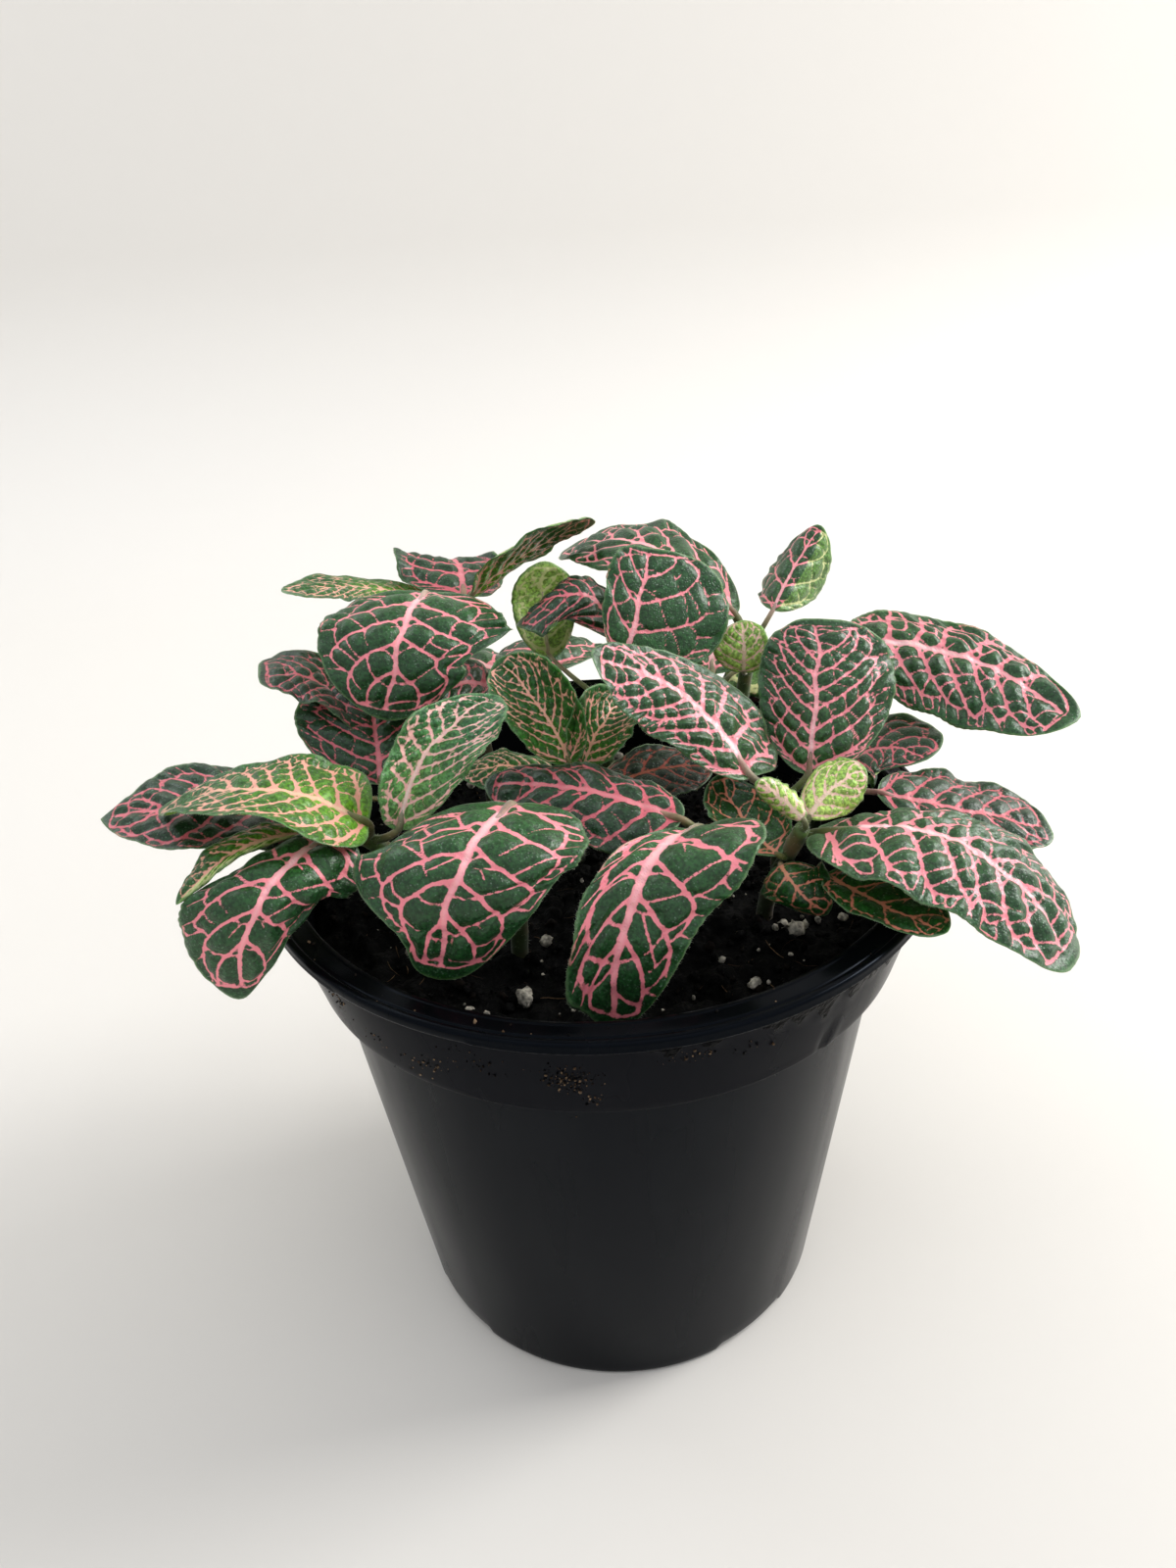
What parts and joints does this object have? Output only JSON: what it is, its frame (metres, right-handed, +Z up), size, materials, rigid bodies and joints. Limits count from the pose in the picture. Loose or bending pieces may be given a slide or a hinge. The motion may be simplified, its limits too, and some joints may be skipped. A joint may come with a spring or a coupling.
{
  "type": "potted nerve plant",
  "caption": "Nerve plant with pink-veined dark green leaves on short leafy stems, in soil in a round tapered nursery pot with a flared lip and a band under it.",
  "frame": {"origin": "centre of the pot's flat underside, on the pot's axis, at the plane it stands on", "axes": "+Z up along the pot's axis, -Y towards the front of the plant as pictured, +X to the right seen from the front"},
  "size_m": [0.1531, 0.1243, 0.1309],
  "materials": {
    "pot_plastic": "satin black moulded plastic",
    "soil": "moist dark potting soil with white perlite grains",
    "leaf": "velvety dark green blade with a net of pink veins"
  },
  "bodies": {
    "root": {"pot": "pot_plastic", "soil": "soil", "shoot_front_left": "leaf", "shoot_front_middle": "leaf", "shoot_centre": "leaf", "shoot_front_right": "leaf", "shoot_centre_right": "leaf", "shoot_middle": "leaf", "shoot_left": "leaf", "shoot_back_left": "leaf", "shoot_back_middle": "leaf", "shoot_back_right": "leaf", "shoot_right": "leaf", "shoot_rear_left": "leaf", "shoot_rear_right": "leaf"}
  },
  "joints": []
}
